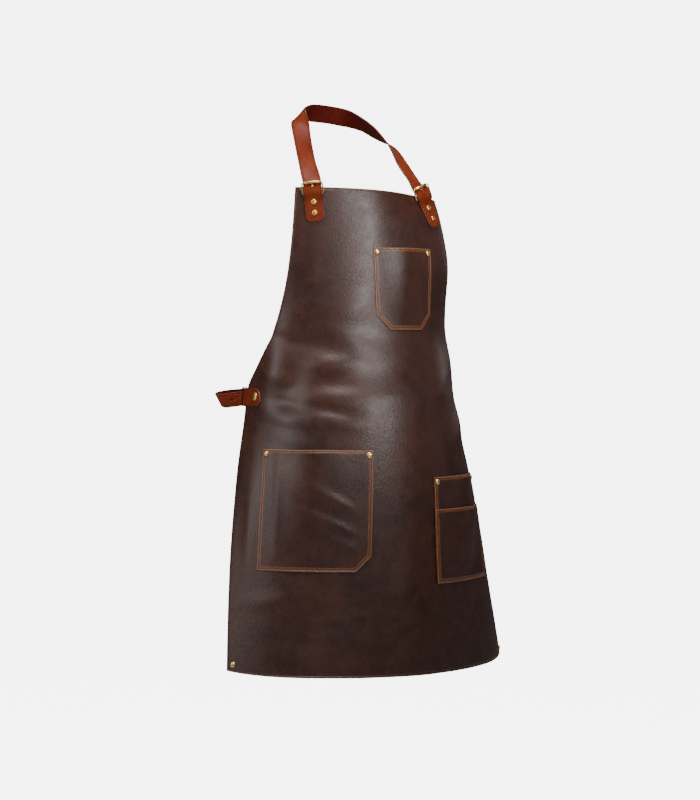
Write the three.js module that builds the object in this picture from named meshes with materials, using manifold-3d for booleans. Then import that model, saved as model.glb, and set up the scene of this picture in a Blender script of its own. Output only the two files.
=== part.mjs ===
// Leather work apron in the form that it has when worn: a bib apron cut from one hide, with a chest
// pocket, a hand pocket and a tool pocket riveted at their mouths, a buckled neck strap and a waist belt.
// Millimetres, +Z up. The wearer faces -Y and the wearer's left is +X. The origin is where the strap
// rests on the back of the neck. On the hide, s runs across from its middle and z is the height above
// the waist line.
import * as THREE from 'three';
import { mergeVertices } from 'three/addons/utils/BufferGeometryUtils.js';
import Module from 'manifold-3d';

const wasm = await Module();
wasm.setup();

// Thicknesses and clearances: gap is between fitted pieces, seat is over the hide's flat facets.
const GAP = 0.3;
const SEAT = 0.75;
const HIDE = 2.2;
const POCKET_HIDE = 1.8;
const STRAP_HIDE = 2.8;
const BELT_HIDE = 2.4;

// The hide as it hangs: at each height the section is an arc of this radius, its middle stands this far
// forward, and the hide reaches this far to each side along the arc. Strips is the number of facets down
// to the next row.
const SECTIONS = [
  { z: 360.5, radius: 242, front: -79, half: 145.5, strips: 3 },
  { z: 290, radius: 226, front: -83, half: 152, strips: 3 },
  { z: 221, radius: 206, front: -89, half: 163, strips: 3 },
  { z: 154, radius: 190, front: -94, half: 181.5, strips: 2 },
  { z: 110, radius: 182, front: -99, half: 202, strips: 3 },
  { z: 60, radius: 181.5, front: -115, half: 248, strips: 2 },
  { z: 21, radius: 182, front: -127, half: 294.5, strips: 1 },
  { z: 6, radius: 183, front: -131.5, half: 308, strips: 4 },
  { z: -129, radius: 217, front: -152, half: 309, strips: 5 },
  { z: -294, radius: 261, front: -165, half: 310, strips: 5 },
  { z: -451.5, radius: 300, front: -176, half: 310, strips: 0 },
];

// Soft dents and folds in the hide: middle, direction of the crease from level, half length, half width
// and depth, where a minus depth is a hollow.
const FOLDS = [
  { s: 110, z: 392, tilt: 0, long: 82, wide: 62, depth: -27 },
  { s: 150, z: 232, tilt: 90, long: 60, wide: 70, depth: 9 },
  { s: -196, z: 74, tilt: 62, long: 75, wide: 24, depth: 5 },
  { s: -172, z: 30, tilt: 50, long: 70, wide: 24, depth: -5 },
  { s: -190, z: -44, tilt: -30, long: 60, wide: 24, depth: 4 },
  { s: 196, z: 74, tilt: -62, long: 75, wide: 24, depth: 5 },
  { s: 190, z: -44, tilt: 30, long: 60, wide: 24, depth: 4 },
  { s: -20, z: 50, tilt: 6, long: 120, wide: 32, depth: -4 },
  { s: 30, z: -390, tilt: 84, long: 130, wide: 42, depth: 5 },
  { s: -140, z: -400, tilt: 96, long: 120, wide: 44, depth: -4 },
];

// Top and bottom of the hide: the top edge falls towards the wearer's left, and the hem's corners rise.
const BIB_TOP = SECTIONS[0].z;
const BIB_DROP = 15;
const BIB_DROP_START = 150;
const HEM = SECTIONS[SECTIONS.length - 1].z;
const HEM_CORNER_RISE = 4;
const HEM_CORNER_POWER = 6;
const HEM_RISE_END = -330;
const BODY_COLUMNS = 22;

// Patch pockets on the outside of the hide. Lean moves the foot sideways, swell is how far the mouth
// stands off, and clips are the cut corners at the foot. The tool pocket has a shorter tier in front.
const CHEST = { left: -15.5, right: 101, top: 258.5, foot: 121, lean: 2, swell: 5, clips: [25, 25] };
const HAND = { left: -237, right: -43, top: -80.5, foot: -278.5, lean: -12, swell: 9, clips: [0, 25] };
const TOOL = { left: 73, right: 231, top: -128, foot: -304, lean: -3, swell: 8, clips: [0, 0] };
const TOOL_FRONT = { ...TOOL, left: 72, right: 230, top: -182, swell: 6.5 };
const CLIP_ROWS = 2;
const SEAM_SHARE = 0.09;
const SWELL_START = 0.08;
const POCKET_RIVET_IN = 6;
const POCKET_RIVET_DOWN = 7;
const POCKET_GRID = 9;

// Rivets: cap in front, washer behind, post through drilled holes
const CAP_RADIUS = 4.8;
const CAP_HEIGHT = 2.6;
const POST_RADIUS = 1.4;
const WASHER_HEIGHT = 1;
const WASHER_SHARE = 0.7;
const RIVET_SIDES = 8;
const DRILL_SIDES = 8;
const DRILL_LENGTH = 30;
const WAIST_CAP_RADIUS = 7;
const HEM_RIVET = { s: 297.5, z: -436 };

// Neck strap and its two buckles. Each bib corner gives the heel bar's place on the hide, how the strap
// leans there, and the distances down the strap to the two rivets and the rounded end. Turn and lift are
// how far the strap is twisted and stands off the hide, at its end and at its buckle. Slide is how far it
// has bent aside at the buckle.
const STRAP_WIDTH = 30;
const STRAP_END_ROUND = 8;
const BIB_CORNERS = {
  right: {
    s: -115.5, z: 348.5, lean: -4, rivets: [13, 31.5], end: 45.5,
    turn: [0, 0], lift: [0, 0], slide: 0,
  },
  left: {
    s: 111, z: 346.6, lean: -15, rivets: [17.5, 36], end: 49.5,
    turn: [-6, -18], lift: [0.8, 3.6], slide: -9,
  },
};
const TWIST_SPAN = [-26, -2];
const SLIDE_SPAN = [-28, 10];
const BUCKLE_REACH = 19.5;
const BUCKLE_WIDTH = 35;
const BUCKLE_CORNER = 4.5;
const WIRE_RADIUS = 1.2;
const ROLLER_RADIUS = 2.4;
const ROLLER_LENGTH = 25;
const PRONG_RADIUS = 1;
const PRONG_RING = 0.6;
const PRONG_RING_HALF = 2;
const PRONG_STEPS = 8;
const TUBE_QUARTER = 3;
const WIRE_SIDES = 6;
const WIRE_STEPS = 28;
const STRAP_SLOT_CLEAR = 0.8;
const STRAP_STEPS = 60;
const STRAP_ACROSS = 4;
const END_SHARE = 0.34;

// The prong's middle line: distance up from the heel bar and rise off the plane of the frame.
const PRONG_LINE = [
  { up: 1.8, rise: 0 },
  { up: 8, rise: -0.4 },
  { up: 14, rise: 0.9 },
  { up: 18, rise: 3.1 },
  { up: 19.5, rise: 3.8 },
  { up: 21.7, rise: 3.5 },
];

// The strap from the right buckle over the right shoulder, round the neck and down to the left buckle.
// Facing is the way its outer side looks, 0 to the front and -90 to the wearer's right, and up is how
// far that side is turned to the sky.
const NECK_LOOP = [
  { x: -110, y: -22, z: 408, facing: -4, up: 26 },
  { x: -110, y: -5, z: 443.5, facing: -5, up: 30 },
  { x: -107, y: 10, z: 465.5, facing: -20, up: 37 },
  { x: -102, y: 28, z: 489, facing: -87, up: 36 },
  { x: -88.5, y: 43, z: 493.5, facing: -132, up: 36 },
  { x: -69, y: 56, z: 497, facing: -154, up: 24 },
  { x: -40, y: 64.5, z: 497, facing: -166, up: 4 },
  { x: -13, y: 70, z: 495, facing: -182, up: 4 },
  { x: 10, y: 65, z: 490, facing: -214, up: 28 },
  { x: 28, y: 51, z: 480, facing: -246, up: 40 },
  { x: 44, y: 38, z: 466, facing: -260, up: 42 },
  { x: 56, y: 29, z: 454, facing: -280, up: 48 },
  { x: 73, y: 19.5, z: 437, facing: -318, up: 42 },
  { x: 84, y: 4, z: 409, facing: -334, up: 36 },
  { x: 89, y: -18, z: 386, facing: -338, up: 30 },
];
const NECK_REST = { y: 68, z: 493 };

// Waist belt: a tab riveted to each edge of the hide, a keeper round the tab's end and the belt's start,
// and a belt that runs to a plain clasp behind the wearer. Rows are for the right side, and the left side
// mirrors them.
const TAB = { tip: 247, end: 320, z: 6, height: 29, round: 7, steps: 9 };
const TAB_RIVET = { s: 261, z: 7 };
const KEEPER = { s: 316, width: 6, wall: 1.3 };
const BELT_WIDTH = 24;
const BELT_STEPS = 30;
const BELT_ACROSS = 2;
const BELT_START = { first: 313, last: 321, z: 3 };
const BELT_LINE = [
  { x: -184, y: 95, z: 2, facing: -58, up: 0 },
  { x: -196, y: 103, z: 0, facing: -45, up: -8 },
  { x: -207, y: 113, z: -2, facing: -56, up: -20 },
  { x: -211, y: 127, z: -1, facing: -100, up: -28 },
  { x: -199, y: 145, z: 2, facing: -140, up: -18 },
  { x: -150, y: 167, z: 5, facing: -163, up: -4 },
  { x: -84, y: 179, z: 5, facing: -174, up: 0 },
  { x: -32, y: 182, z: 5, facing: -180, up: 0 },
  { x: -3, y: 182, z: 5, facing: -180, up: 0 },
];
const BELT_HOLE = { x: -196, y: 103, z: 0, facing: -45, up: -8, radius: 2.2 };
const CLASP = { width: 44, height: 30, wall: 2.4, spare: 0.6 };

// Finishes
const bodyLeather = new THREE.MeshStandardMaterial({ color: 0x3a241c, roughness: 0.5, metalness: 0 });
const strapLeather = new THREE.MeshStandardMaterial({ color: 0x8c4630, roughness: 0.45, metalness: 0 });
const brass = new THREE.MeshStandardMaterial({ color: 0xd7b469, roughness: 0.25, metalness: 1 });

// One column of the section table at a height, joined by a smooth curve that never overshoots its rows.
function sectionValue(name, z) {
  const last = SECTIONS.length - 1;
  let i = 0;
  while (i < last - 1 && z < SECTIONS[i + 1].z) i += 1;
  const slope = (j) => (SECTIONS[j + 1][name] - SECTIONS[j][name]) / (SECTIONS[j + 1].z - SECTIONS[j].z);
  const rowSlope = (j) => {
    if (j === 0) return slope(0);
    if (j === last) return slope(last - 1);
    const product = slope(j - 1) * slope(j);
    return product > 0 ? (2 * product) / (slope(j - 1) + slope(j)) : 0;
  };
  const span = SECTIONS[i + 1].z - SECTIONS[i].z;
  const t = (z - SECTIONS[i].z) / span;
  const rise = t * t * (3 - 2 * t);
  return (
    SECTIONS[i][name] * (1 - rise) +
    SECTIONS[i + 1][name] * rise +
    rowSlope(i) * span * t * (1 - t) * (1 - t) -
    rowSlope(i + 1) * span * t * t * (1 - t)
  );
}

// Depth of all folds together at a point of the hide.
function foldDepth(s, z) {
  let depth = 0;
  for (const fold of FOLDS) {
    const tilt = THREE.MathUtils.degToRad(fold.tilt);
    const along = ((s - fold.s) * Math.cos(tilt) + (z - fold.z) * Math.sin(tilt)) / fold.long;
    const aside = ((z - fold.z) * Math.cos(tilt) - (s - fold.s) * Math.sin(tilt)) / fold.wide;
    depth += fold.depth * Math.exp(-along * along - aside * aside);
  }
  return depth;
}

// A point of the hide's middle surface.
function hidePoint(s, z) {
  const radius = sectionValue('radius', z);
  const angle = s / radius;
  const out = radius + foldDepth(s, z);
  const centre = sectionValue('front', z) + radius;
  return new THREE.Vector3(out * Math.sin(angle), centre - out * Math.cos(angle), z);
}

// The outward normal of the hide, from its slopes across and up.
function hideNormal(s, z) {
  const across = hidePoint(s + 1, z).sub(hidePoint(s - 1, z));
  const up = hidePoint(s, z + 1).sub(hidePoint(s, z - 1));
  return across.cross(up).normalize();
}

// A point that lies this far outside the hide's middle surface.
function onHide(s, z, off) {
  return hidePoint(s, z).addScaledVector(hideNormal(s, z), off);
}

// A closed wall: place gives a point for a share across, a share along and a side, -0.5 or 0.5.
function wall(columns, rows, place) {
  const geometry = new THREE.BoxGeometry(1, 1, 1, columns, rows, 1);
  geometry.deleteAttribute('normal');
  geometry.deleteAttribute('uv');
  const merged = mergeVertices(geometry);
  const position = merged.attributes.position;
  for (let i = 0; i < position.count; i += 1) {
    const point = place(position.getX(i) + 0.5, position.getY(i) + 0.5, position.getZ(i));
    position.setXYZ(i, point.x, point.y, point.z);
  }
  return merged;
}

// Solids for cutting and joining
function toSolid(geometry) {
  const bare = geometry.clone();
  bare.deleteAttribute('normal');
  bare.deleteAttribute('uv');
  const merged = mergeVertices(bare, 1e-3);
  return new wasm.Manifold(
    new wasm.Mesh({
      numProp: 3,
      vertProperties: new Float32Array(merged.attributes.position.array),
      triVerts: new Uint32Array(merged.index.array),
    }),
  );
}

function toGeometry(solid) {
  const mesh = solid.getMesh();
  const geometry = new THREE.BufferGeometry();
  geometry.setAttribute('position', new THREE.BufferAttribute(mesh.vertProperties, 3));
  geometry.setIndex(new THREE.BufferAttribute(mesh.triVerts, 1));
  return geometry;
}

// A round bar along the outward direction at a point, used to drill holes.
function drill(point, direction, radius) {
  const bar = new THREE.CylinderGeometry(radius, radius, DRILL_LENGTH, DRILL_SIDES);
  bar.applyQuaternion(new THREE.Quaternion().setFromUnitVectors(new THREE.Vector3(0, 1, 0), direction));
  bar.translate(point.x, point.y, point.z);
  return toSolid(bar);
}

const apron = new THREE.Group();
apron.position.set(0, -NECK_REST.y, -NECK_REST.z);

function addPiece(name, geometry, material) {
  const piece = new THREE.Mesh(geometry, material);
  piece.name = name;
  apron.add(piece);
}

// Rivets: each lists its place on the hide, the layers outside the hide that it clamps, and its direction.
const rivets = [];

function planRivet(name, s, z, outside, capRadius = CAP_RADIUS, axis = hideNormal(s, z)) {
  rivets.push({ name, outside, capRadius, axis, middle: hidePoint(s, z) });
}

function rivetHoles(cut, names) {
  let solid = cut;
  for (const rivet of rivets.filter((each) => names(each.name))) {
    solid = solid.subtract(drill(rivet.middle, rivet.axis, POST_RADIUS + GAP));
  }
  return solid;
}

function rivetGeometry(outside, capRadius) {
  const front = HIDE / 2 + outside + SEAT;
  const back = -HIDE / 2 - SEAT - GAP;
  const washer = capRadius * WASHER_SHARE;
  const halfTurn = Math.PI / 4;
  const profile = [
    new THREE.Vector2(0, back - WASHER_HEIGHT),
    new THREE.Vector2(washer, back - WASHER_HEIGHT),
    new THREE.Vector2(washer, back),
    new THREE.Vector2(POST_RADIUS, back),
    new THREE.Vector2(POST_RADIUS, front),
    new THREE.Vector2(capRadius, front),
    new THREE.Vector2(capRadius * Math.cos(halfTurn), front + CAP_HEIGHT * Math.sin(halfTurn)),
    new THREE.Vector2(0, front + CAP_HEIGHT),
  ];
  return new THREE.LatheGeometry(profile, RIVET_SIDES);
}

for (const [key, pocket] of Object.entries({ chest: CHEST, hand: HAND, tool: TOOL })) {
  const outside = POCKET_HIDE + SEAT;
  const z = pocket.top - POCKET_RIVET_DOWN;
  planRivet(`${key}_rivet_right`, pocket.left + POCKET_RIVET_IN, z, outside);
  planRivet(`${key}_rivet_left`, pocket.right - POCKET_RIVET_IN, z, outside);
}
for (const [side, sign] of [['right', -1], ['left', 1]]) {
  planRivet(`hem_rivet_${side}`, sign * HEM_RIVET.s, HEM_RIVET.z, 0);
  planRivet(`waist_rivet_${side}`, sign * TAB_RIVET.s, TAB_RIVET.z, BELT_HIDE + SEAT, WAIST_CAP_RADIUS);
}

// A place on the strap end at a bib corner: this far up the strap from the heel bar and aside from it.
function cornerPlace(corner, up, aside = 0) {
  const lean = THREE.MathUtils.degToRad(corner.lean);
  return {
    s: corner.s + up * Math.sin(lean) + aside * Math.cos(lean),
    z: corner.z + up * Math.cos(lean) - aside * Math.sin(lean),
  };
}

// How far the strap has bent aside, this far up from the heel bar.
function cornerAside(corner, up) {
  return corner.slide * THREE.MathUtils.smoothstep(up, ...SLIDE_SPAN);
}

// A turn or lift on its way from the strap's end to the buckle.
function cornerShare(up, [atEnd, atBuckle]) {
  return THREE.MathUtils.lerp(atEnd, atBuckle, THREE.MathUtils.smoothstep(up, ...TWIST_SPAN));
}

// The way the strap's outer side looks at a bib corner: the hide's normal, turned about the strap.
function cornerLook(corner, up) {
  const place = cornerPlace(corner, up);
  const above = cornerPlace(corner, up + 1);
  const below = cornerPlace(corner, up - 1);
  const run = hidePoint(above.s, above.z).sub(hidePoint(below.s, below.z)).normalize();
  const turn = THREE.MathUtils.degToRad(cornerShare(up, corner.turn));
  return hideNormal(place.s, place.z).applyAxisAngle(run, turn);
}
for (const [side, corner] of Object.entries(BIB_CORNERS)) {
  corner.rivets.forEach((down, i) => {
    const place = cornerPlace(corner, -down, cornerAside(corner, -down));
    const outside = STRAP_HIDE + SEAT + cornerShare(-down, corner.lift);
    const axis = cornerLook(corner, -down);
    planRivet(`strap_rivet_${side}_${i + 1}`, place.s, place.z, outside, CAP_RADIUS, axis);
  });
}

// Apron body: one hide with a bib, arm curves and a skirt
const levels = SECTIONS.flatMap((row, i) =>
  Array.from({ length: row.strips }, (_, j) =>
    THREE.MathUtils.lerp(row.z, SECTIONS[i + 1].z, j / row.strips),
  ),
);
levels.push(HEM);
levels.reverse();
const bodyRows = levels.length - 1;
function bodyPlace(across, along, side) {
  const level = levels[Math.round(along * bodyRows)];
  const s = (2 * across - 1) * sectionValue('half', level);
  const half = sectionValue('half', BIB_TOP);
  const topShare = THREE.MathUtils.smoothstep(level, BIB_DROP_START, BIB_TOP);
  const hemShare = 1 - THREE.MathUtils.smoothstep(level, HEM, HEM_RISE_END);
  const drop = BIB_DROP * Math.pow((s + half) / (2 * half), 2);
  const rise = HEM_CORNER_RISE * Math.pow(Math.abs(s) / HEM_RIVET.s, HEM_CORNER_POWER);
  const z = level - drop * topShare + rise * hemShare;
  return onHide(s, z, side * HIDE);
}
const body = toSolid(wall(BODY_COLUMNS, bodyRows, bodyPlace));
addPiece('apron_body', toGeometry(rivetHoles(body, () => true)), bodyLeather);

// How far a pocket stands off the hide: nothing along its seams, most at the middle of its mouth.
function pocketSwell(pocket, across, z) {
  const along = (z - pocket.foot) / (pocket.top - pocket.foot);
  const free = THREE.MathUtils.clamp((across - SEAM_SHARE) / (1 - 2 * SEAM_SHARE), 0, 1);
  const mouth = THREE.MathUtils.smoothstep(along, SWELL_START, 1);
  return pocket.swell * Math.pow(Math.sin(Math.PI * free), 2) * mouth;
}

// Patch pockets: under holds the tier that a front tier is sewn on.
function pocketGeometry(pocket, base, under) {
  const [clipLeft, clipRight] = pocket.clips;
  const clipHeight = Math.max(clipLeft, clipRight, 1);
  const footShare = CLIP_ROWS / POCKET_GRID;
  return wall(POCKET_GRID, POCKET_GRID, (across, along, side) => {
    const upper = Math.max(0, along - footShare) / (1 - footShare);
    const lower = Math.min(1, along / footShare);
    const above = lower * clipHeight + upper * (pocket.top - pocket.foot - clipHeight);
    const z = pocket.foot + above;
    const lean = pocket.lean * (1 - above / (pocket.top - pocket.foot));
    const left = pocket.left + lean + Math.max(0, clipLeft - above);
    const right = pocket.right + lean - Math.max(0, clipRight - above);
    const s = left + across * (right - left);
    const swell = pocketSwell(pocket, across, z) + (under ? pocketSwell(under, across, z) : 0);
    return onHide(s, z, base + swell + side * POCKET_HIDE);
  });
}
const pocketOff = HIDE / 2 + SEAT + POCKET_HIDE / 2;
const pockets = { chest_pocket: CHEST, hand_pocket: HAND, tool_pocket: TOOL };
for (const [name, pocket] of Object.entries(pockets)) {
  const family = name.replace('pocket', '');
  const cut = rivetHoles(toSolid(pocketGeometry(pocket, pocketOff)), (each) => each.startsWith(family));
  addPiece(name, toGeometry(cut), bodyLeather);
}
addPiece('tool_pocket_front', pocketGeometry(TOOL_FRONT, pocketOff + POCKET_HIDE + GAP, TOOL), bodyLeather);

// A strap carried along stations, each a point of its middle line and the way its outer side looks.
// Both ends are rounded by sliding their corners back.
function strapGeometry(stations, width, thick, steps, columns, round) {
  const line = new THREE.CatmullRomCurve3(stations.map((each) => each.point));
  const looks = new THREE.CatmullRomCurve3(stations.map((each) => each.normal));
  return wall(steps, columns, (along, across, side) => {
    const tangent = line.getTangent(along);
    const out = looks.getPoint(along);
    out.addScaledVector(tangent, -out.dot(tangent)).normalize();
    const sideways = out.clone().cross(tangent);
    const edge = 2 * across - 1;
    const nearFirst = Math.max(0, 1 - along * steps * END_SHARE);
    const nearLast = Math.max(0, 1 - (1 - along) * steps * END_SHARE);
    const slide = round * edge * edge * (nearFirst - nearLast);
    const point = line.getPoint(along).addScaledVector(tangent, slide);
    return point.addScaledVector(sideways, (edge * width) / 2).addScaledVector(out, side * thick);
  });
}

// The way a strap's outer side looks, from its compass and sky angles.
function look(row) {
  const facing = THREE.MathUtils.degToRad(row.facing);
  const up = THREE.MathUtils.degToRad(row.up);
  return new THREE.Vector3(Math.sin(facing) * Math.cos(up), -Math.cos(facing) * Math.cos(up), Math.sin(up));
}

// Heights of the strap and buckle parts outside the hide's middle surface at a bib corner
const RING_RADIUS = WIRE_RADIUS + GAP + PRONG_RING;
const BUMP_HALF = 8;
const STRAP_FLAT = HIDE / 2 + SEAT + STRAP_HIDE / 2;
const HEEL_OFF = HIDE / 2 + SEAT + RING_RADIUS;
const CREST_OFF = HEEL_OFF + RING_RADIUS + 2 * GAP + STRAP_HIDE / 2;
const ROLLER_DIP = STRAP_FLAT + WIRE_RADIUS;
const ROLLER_OFF = ROLLER_DIP + STRAP_HIDE / 2 + 2 * SEAT + ROLLER_RADIUS;

function cornerStation(corner, up, off) {
  const place = cornerPlace(corner, up, cornerAside(corner, up));
  const point = onHide(place.s, place.z, off + cornerShare(up, corner.lift));
  return { point, normal: cornerLook(corner, up) };
}

function cornerStations(corner) {
  const rows = [
    { up: -corner.end, off: STRAP_FLAT },
    { up: -corner.rivets[1], off: STRAP_FLAT },
    { up: -corner.rivets[0], off: STRAP_FLAT },
    { up: -BUMP_HALF, off: STRAP_FLAT },
    { up: -BUMP_HALF / 2, off: (STRAP_FLAT + CREST_OFF) / 2 },
    { up: 0, off: CREST_OFF },
    { up: BUMP_HALF, off: CREST_OFF - GAP },
    { up: BUCKLE_REACH, off: ROLLER_DIP },
  ];
  return rows.map((row) => cornerStation(corner, row.up, row.off));
}
const loopStations = NECK_LOOP.map((row) => ({
  point: new THREE.Vector3(row.x, row.y, row.z),
  normal: look(row),
}));
const strapStations = [
  ...cornerStations(BIB_CORNERS.right),
  ...loopStations,
  ...cornerStations(BIB_CORNERS.left).reverse(),
];
const strapWall = strapGeometry(
  strapStations,
  STRAP_WIDTH,
  STRAP_HIDE,
  STRAP_STEPS,
  STRAP_ACROSS,
  STRAP_END_ROUND,
);
let strap = rivetHoles(toSolid(strapWall), (name) => name.startsWith('strap_'));

// A tube along a path, with closed ends
function tube(points, radius) {
  const section = new THREE.Shape().absarc(0, 0, radius, 0, 2 * Math.PI);
  return new THREE.ExtrudeGeometry(section, {
    steps: PRONG_STEPS,
    curveSegments: TUBE_QUARTER,
    extrudePath: new THREE.CatmullRomCurve3(points),
  });
}

// A wire bent to a rounded rectangle: a ring whose turn is carried round the rectangle's outline.
function buckleFrame(place) {
  const ring = 100;
  const torus = new THREE.TorusGeometry(ring, WIRE_RADIUS, WIRE_SIDES, WIRE_STEPS);
  torus.deleteAttribute('normal');
  torus.deleteAttribute('uv');
  const geometry = mergeVertices(torus);
  const outline = new THREE.Path();
  const wide = BUCKLE_WIDTH / 2;
  const round = BUCKLE_CORNER;
  outline.moveTo(wide, round);
  outline.lineTo(wide, BUCKLE_REACH - round);
  outline.absarc(wide - round, BUCKLE_REACH - round, round, 0, Math.PI / 2);
  outline.lineTo(-wide + round, BUCKLE_REACH);
  outline.absarc(-wide + round, BUCKLE_REACH - round, round, Math.PI / 2, Math.PI);
  outline.lineTo(-wide, round);
  outline.absarc(-wide + round, round, round, Math.PI, 1.5 * Math.PI);
  outline.lineTo(wide - round, 0);
  outline.absarc(wide - round, round, round, 1.5 * Math.PI, 2 * Math.PI);
  const position = geometry.attributes.position;
  for (let i = 0; i < position.count; i += 1) {
    const x = position.getX(i);
    const y = position.getY(i);
    const share = (Math.atan2(y, x) / (2 * Math.PI) + 1) % 1;
    const away = Math.hypot(x, y) - ring;
    const at = outline.getPointAt(share);
    const heading = outline.getTangentAt(share);
    const point = place(at.x + heading.y * away, at.y - heading.x * away, position.getZ(i));
    position.setXYZ(i, point.x, point.y, point.z);
  }
  return geometry;
}

// Buckles: wire frame, roller on the upper bar, and a prong that comes up through the strap
for (const [side, corner] of Object.entries(BIB_CORNERS)) {
  const crest = cornerStation(corner, 0, CREST_OFF);
  const dip = cornerStation(corner, BUCKLE_REACH, ROLLER_DIP);
  const heel = crest.point.addScaledVector(crest.normal, HEEL_OFF - CREST_OFF);
  const roller = dip.point.addScaledVector(dip.normal, ROLLER_OFF - ROLLER_DIP);
  const up = roller.clone().sub(heel).normalize();
  const across = up.clone().cross(crest.normal).normalize();
  const out = across.clone().cross(up);
  const scale = roller.distanceTo(heel) / BUCKLE_REACH;
  const local = (x, y, z) =>
    heel.clone().addScaledVector(across, x).addScaledVector(up, y * scale).addScaledVector(out, z);
  addPiece(`neck_buckle_${side}`, buckleFrame(local), brass);

  const sleeveProfile = [
    new THREE.Vector2(WIRE_RADIUS + GAP, -ROLLER_LENGTH / 2),
    new THREE.Vector2(ROLLER_RADIUS, -ROLLER_LENGTH / 2),
    new THREE.Vector2(ROLLER_RADIUS, ROLLER_LENGTH / 2),
    new THREE.Vector2(WIRE_RADIUS + GAP, ROLLER_LENGTH / 2),
    new THREE.Vector2(WIRE_RADIUS + GAP, -ROLLER_LENGTH / 2),
  ];
  const turnAcross = new THREE.Quaternion().setFromUnitVectors(new THREE.Vector3(0, 1, 0), across);
  const sleeve = new THREE.LatheGeometry(sleeveProfile, RIVET_SIDES).applyQuaternion(turnAcross);
  addPiece(`neck_roller_${side}`, sleeve.translate(roller.x, roller.y, roller.z), brass);

  const ringProfile = [
    new THREE.Vector2(WIRE_RADIUS + GAP, -PRONG_RING_HALF),
    new THREE.Vector2(RING_RADIUS, -PRONG_RING_HALF),
    new THREE.Vector2(RING_RADIUS, PRONG_RING_HALF),
    new THREE.Vector2(WIRE_RADIUS + GAP, PRONG_RING_HALF),
    new THREE.Vector2(WIRE_RADIUS + GAP, -PRONG_RING_HALF),
  ];
  const ring = new THREE.LatheGeometry(ringProfile, DRILL_SIDES).applyQuaternion(turnAcross);
  ring.translate(heel.x, heel.y, heel.z);
  const prongLine = PRONG_LINE.map((row) => local(0, row.up, row.rise));
  const prong = toSolid(tube(prongLine, PRONG_RADIUS)).add(toSolid(ring));
  addPiece(`neck_prong_${side}`, toGeometry(prong), brass);
  strap = strap.subtract(toSolid(tube(prongLine, PRONG_RADIUS + STRAP_SLOT_CLEAR)));
}
addPiece('neck_strap', toGeometry(strap), strapLeather);

// Waist tabs, keepers and belts, the left side mirroring the right
const tabOff = HIDE / 2 + SEAT + BELT_HIDE / 2;
const beltOff = tabOff - BELT_HIDE - GAP;
for (const [side, sign] of [['right', -1], ['left', 1]]) {
  const tab = wall(TAB.steps, STRAP_ACROSS, (across, along, thick) => {
    const share = side === 'right' ? 1 - across : across;
    const edge = 2 * along - 1;
    const round = TAB.round * edge * edge * Math.max(0, 1 - 3 * share);
    const s = sign * (TAB.tip + round + share * (TAB.end - TAB.tip));
    return onHide(s, TAB.z + (edge * TAB.height) / 2, tabOff + thick * BELT_HIDE);
  });
  const drilledTab = rivetHoles(toSolid(tab), (name) => name === `waist_rivet_${side}`);
  addPiece(`waist_tab_${side}`, toGeometry(drilledTab), strapLeather);

  const toSide = (point) => new THREE.Vector3(-sign * point.x, point.y, point.z);
  const startStation = (s) => ({
    point: onHide(sign * s, BELT_START.z, beltOff),
    normal: hideNormal(sign * s, BELT_START.z),
  });
  const stations = [startStation(BELT_START.first), startStation(BELT_START.last)];
  for (const row of BELT_LINE) stations.push({ point: toSide(row), normal: toSide(look(row)) });
  if (side === 'left') stations.reverse();
  const belt = toSolid(strapGeometry(stations, BELT_WIDTH, BELT_HIDE, BELT_STEPS, BELT_ACROSS, 0));
  const hole = drill(toSide(BELT_HOLE), toSide(look(BELT_HOLE)), BELT_HOLE.radius);
  addPiece(`waist_belt_${side}`, toGeometry(belt.subtract(hole)), strapLeather);

  const keeperIn = { depth: 2 * BELT_HIDE + 3 * GAP + 2 * SEAT, height: TAB.height + 3 * SEAT };
  const keeperLook = hideNormal(sign * KEEPER.s, TAB.z);
  const keeperAt = onHide(sign * KEEPER.s, TAB.z, (tabOff + beltOff) / 2);
  const turn = new THREE.Matrix4().makeBasis(
    new THREE.Vector3(0, 0, 1).cross(keeperLook).normalize(),
    keeperLook.clone(),
    new THREE.Vector3(0, 0, 1).cross(keeperLook).cross(keeperLook).normalize(),
  );
  const loop = (width, grow) =>
    toSolid(new THREE.BoxGeometry(width, keeperIn.depth + grow, keeperIn.height + grow).applyMatrix4(turn));
  const keeper = toGeometry(loop(KEEPER.width, 2 * KEEPER.wall).subtract(loop(2 * KEEPER.width, 0)));
  addPiece(`waist_keeper_${side}`, keeper.translate(keeperAt.x, keeperAt.y, keeperAt.z), strapLeather);
}

// Clasp: a plain sleeve that takes both belt ends behind the wearer
const beltEnd = BELT_LINE[BELT_LINE.length - 1];
const slot = { depth: BELT_HIDE + 2 * CLASP.spare, height: BELT_WIDTH + 2 * CLASP.spare };
const claspDepth = slot.depth + 2 * CLASP.wall;
const claspOuter = new THREE.BoxGeometry(CLASP.width, claspDepth, CLASP.height);
const claspInner = new THREE.BoxGeometry(2 * CLASP.width, slot.depth, slot.height);
const clasp = toGeometry(toSolid(claspOuter).subtract(toSolid(claspInner)));
addPiece('waist_clasp', clasp.translate(0, beltEnd.y, beltEnd.z), brass);

// Rivets
for (const rivet of rivets) {
  const geometry = rivetGeometry(rivet.outside, rivet.capRadius);
  geometry.applyQuaternion(new THREE.Quaternion().setFromUnitVectors(new THREE.Vector3(0, 1, 0), rivet.axis));
  addPiece(rivet.name, geometry.translate(...rivet.middle), brass);
}

export default apron;
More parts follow.
